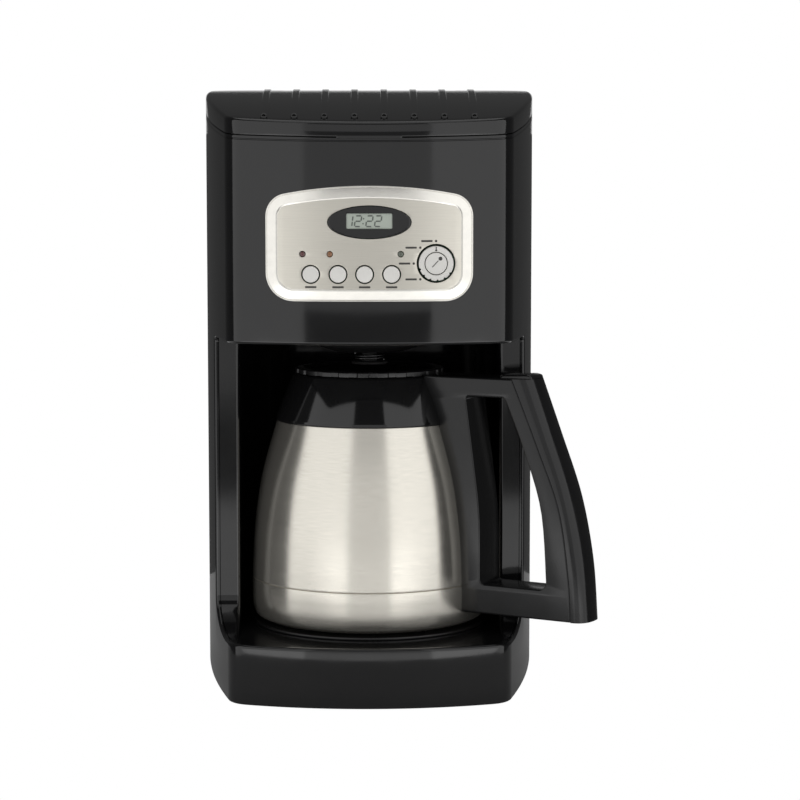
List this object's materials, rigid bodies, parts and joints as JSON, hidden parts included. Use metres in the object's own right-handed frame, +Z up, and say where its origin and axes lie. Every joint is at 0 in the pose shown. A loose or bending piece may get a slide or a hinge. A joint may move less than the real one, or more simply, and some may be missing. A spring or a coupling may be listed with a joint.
{
  "type": "drip coffee maker",
  "caption": "Free-standing drip coffee maker with hinged lid, bowed control panel, push buttons, rotary selector, filter basket and a steel thermal carafe with a loop handle.",
  "frame": {"origin": "on the table plane, under the middle of the bounding box of machine and carafe", "axes": "+Z up, the front with the controls faces -Y, +X to the right seen from the front"},
  "size_m": [0.237, 0.2316, 0.3628],
  "materials": {
    "gloss_black": "glossy moulded black plastic",
    "satin_black": "fine satin black plastic",
    "brushed_steel": "stainless steel brushed finely around its axis",
    "steel_hardware": "plain bright steel",
    "brushed_panel": "fine horizontal brushing",
    "satin_chrome": "satin",
    "silver_plastic": "pale silver painted plastic",
    "black_rubber": "matt",
    "silicone": "milky silicone",
    "aluminium": "extruded",
    "clear_plastic": "clear moulded",
    "lcd_glass": "grey-green display",
    "board_green": "solder mask",
    "white_plastic": "white moulded",
    "red_lens": "tinted lens",
    "amber_lens": "tinted lens",
    "green_lens": "tinted lens"
  },
  "bodies": {
    "machine": {"main_housing": "gloss_black", "niche_liner": "gloss_black", "display_window": "gloss_black", "head_floor": "satin_black", "base_plate": "satin_black", "carafe_rest_plate": "satin_black", "water_tank": "satin_black", "shower_head": "satin_black", "basket_housing": "satin_black", "filter_basket": "satin_black", "base_screw_1": "steel_hardware", "base_screw_2": "steel_hardware", "base_screw_3": "steel_hardware", "base_screw_4": "steel_hardware", "lid_hinge_pin": "steel_hardware", "drip_stop_spring": "steel_hardware", "control_plate": "brushed_panel", "control_bezel": "satin_chrome", "thermostat": "satin_chrome", "foot_1": "black_rubber", "foot_2": "black_rubber", "foot_3": "black_rubber", "foot_4": "black_rubber", "cord_gland": "black_rubber", "inlet_hose": "silicone", "riser_tube": "silicone", "heater_element": "aluminium", "water_level_window": "clear_plastic", "lcd_display": "lcd_glass", "circuit_board": "board_green", "water_filter_holder": "white_plastic", "indicator_light_1": "red_lens", "indicator_light_2": "amber_lens", "indicator_light_3": "green_lens"},
    "lid": {"lid_cover": "gloss_black", "lid_liner": "satin_black"},
    "clean_button": {"clean_button": "silver_plastic"},
    "cup_range_button": {"cup_range_button": "silver_plastic"},
    "hour_button": {"hour_button": "silver_plastic"},
    "minute_button": {"minute_button": "silver_plastic"},
    "selector_knob": {"selector_knob": "silver_plastic"},
    "on_off_button": {"on_off_button": "silver_plastic"},
    "carafe": {"carafe_shell": "brushed_steel", "carafe_liner": "brushed_steel", "carafe_collar": "gloss_black", "carafe_handle": "gloss_black", "handle_spine_cover": "gloss_black"},
    "carafe_lid": {"carafe_lid": "satin_black", "carafe_lid_gasket": "silicone"},
    "drip_stop_valve": {"drip_stop_valve": "black_rubber"}
  },
  "joints": [
    {"name": "lid_hinge", "type": "hinge", "parent": "machine", "child": "lid", "pos_m": [-0.01576, 0.11279, 0.3592], "axis": [-1, 0, 0], "range_deg": [0, 100]},
    {"name": "clean_press", "type": "slide", "parent": "machine", "child": "clean_button", "axis": [0, 1, 0], "range_m": [0, 0.0012], "stiffness_N_per_m": 250},
    {"name": "cup_range_press", "type": "slide", "parent": "machine", "child": "cup_range_button", "axis": [0, 1, 0], "range_m": [0, 0.0012], "stiffness_N_per_m": 250},
    {"name": "hour_press", "type": "slide", "parent": "machine", "child": "hour_button", "axis": [0, 1, 0], "range_m": [0, 0.0012], "stiffness_N_per_m": 250},
    {"name": "minute_press", "type": "slide", "parent": "machine", "child": "minute_button", "axis": [0, 1, 0], "range_m": [0, 0.0012], "stiffness_N_per_m": 250},
    {"name": "selector_turn", "type": "hinge", "parent": "machine", "child": "selector_knob", "pos_m": [0.02184, -0.11021, 0.2587], "axis": [0, -1, 0], "range_deg": [0, 135]},
    {"name": "on_off_press", "type": "slide", "parent": "machine", "child": "on_off_button", "axis": [0, 1, 0], "range_m": [0, 0.0015], "stiffness_N_per_m": 250},
    {"name": "carafe_lift_out", "type": "slide", "parent": "machine", "child": "carafe", "axis": [0, -1, 0], "range_m": [0, 0.25]},
    {"name": "carafe_lid_twist", "type": "hinge", "parent": "carafe", "child": "carafe_lid", "pos_m": [-0.01576, -0.01821, 0.19], "axis": [0, 0, 1], "range_deg": [0, 60]},
    {"name": "drip_stop_lift", "type": "slide", "parent": "machine", "child": "drip_stop_valve", "axis": [0, 0, 1], "range_m": [0, 0.004], "stiffness_N_per_m": 150, "deforming": ["drip_stop_spring"]}
  ]
}
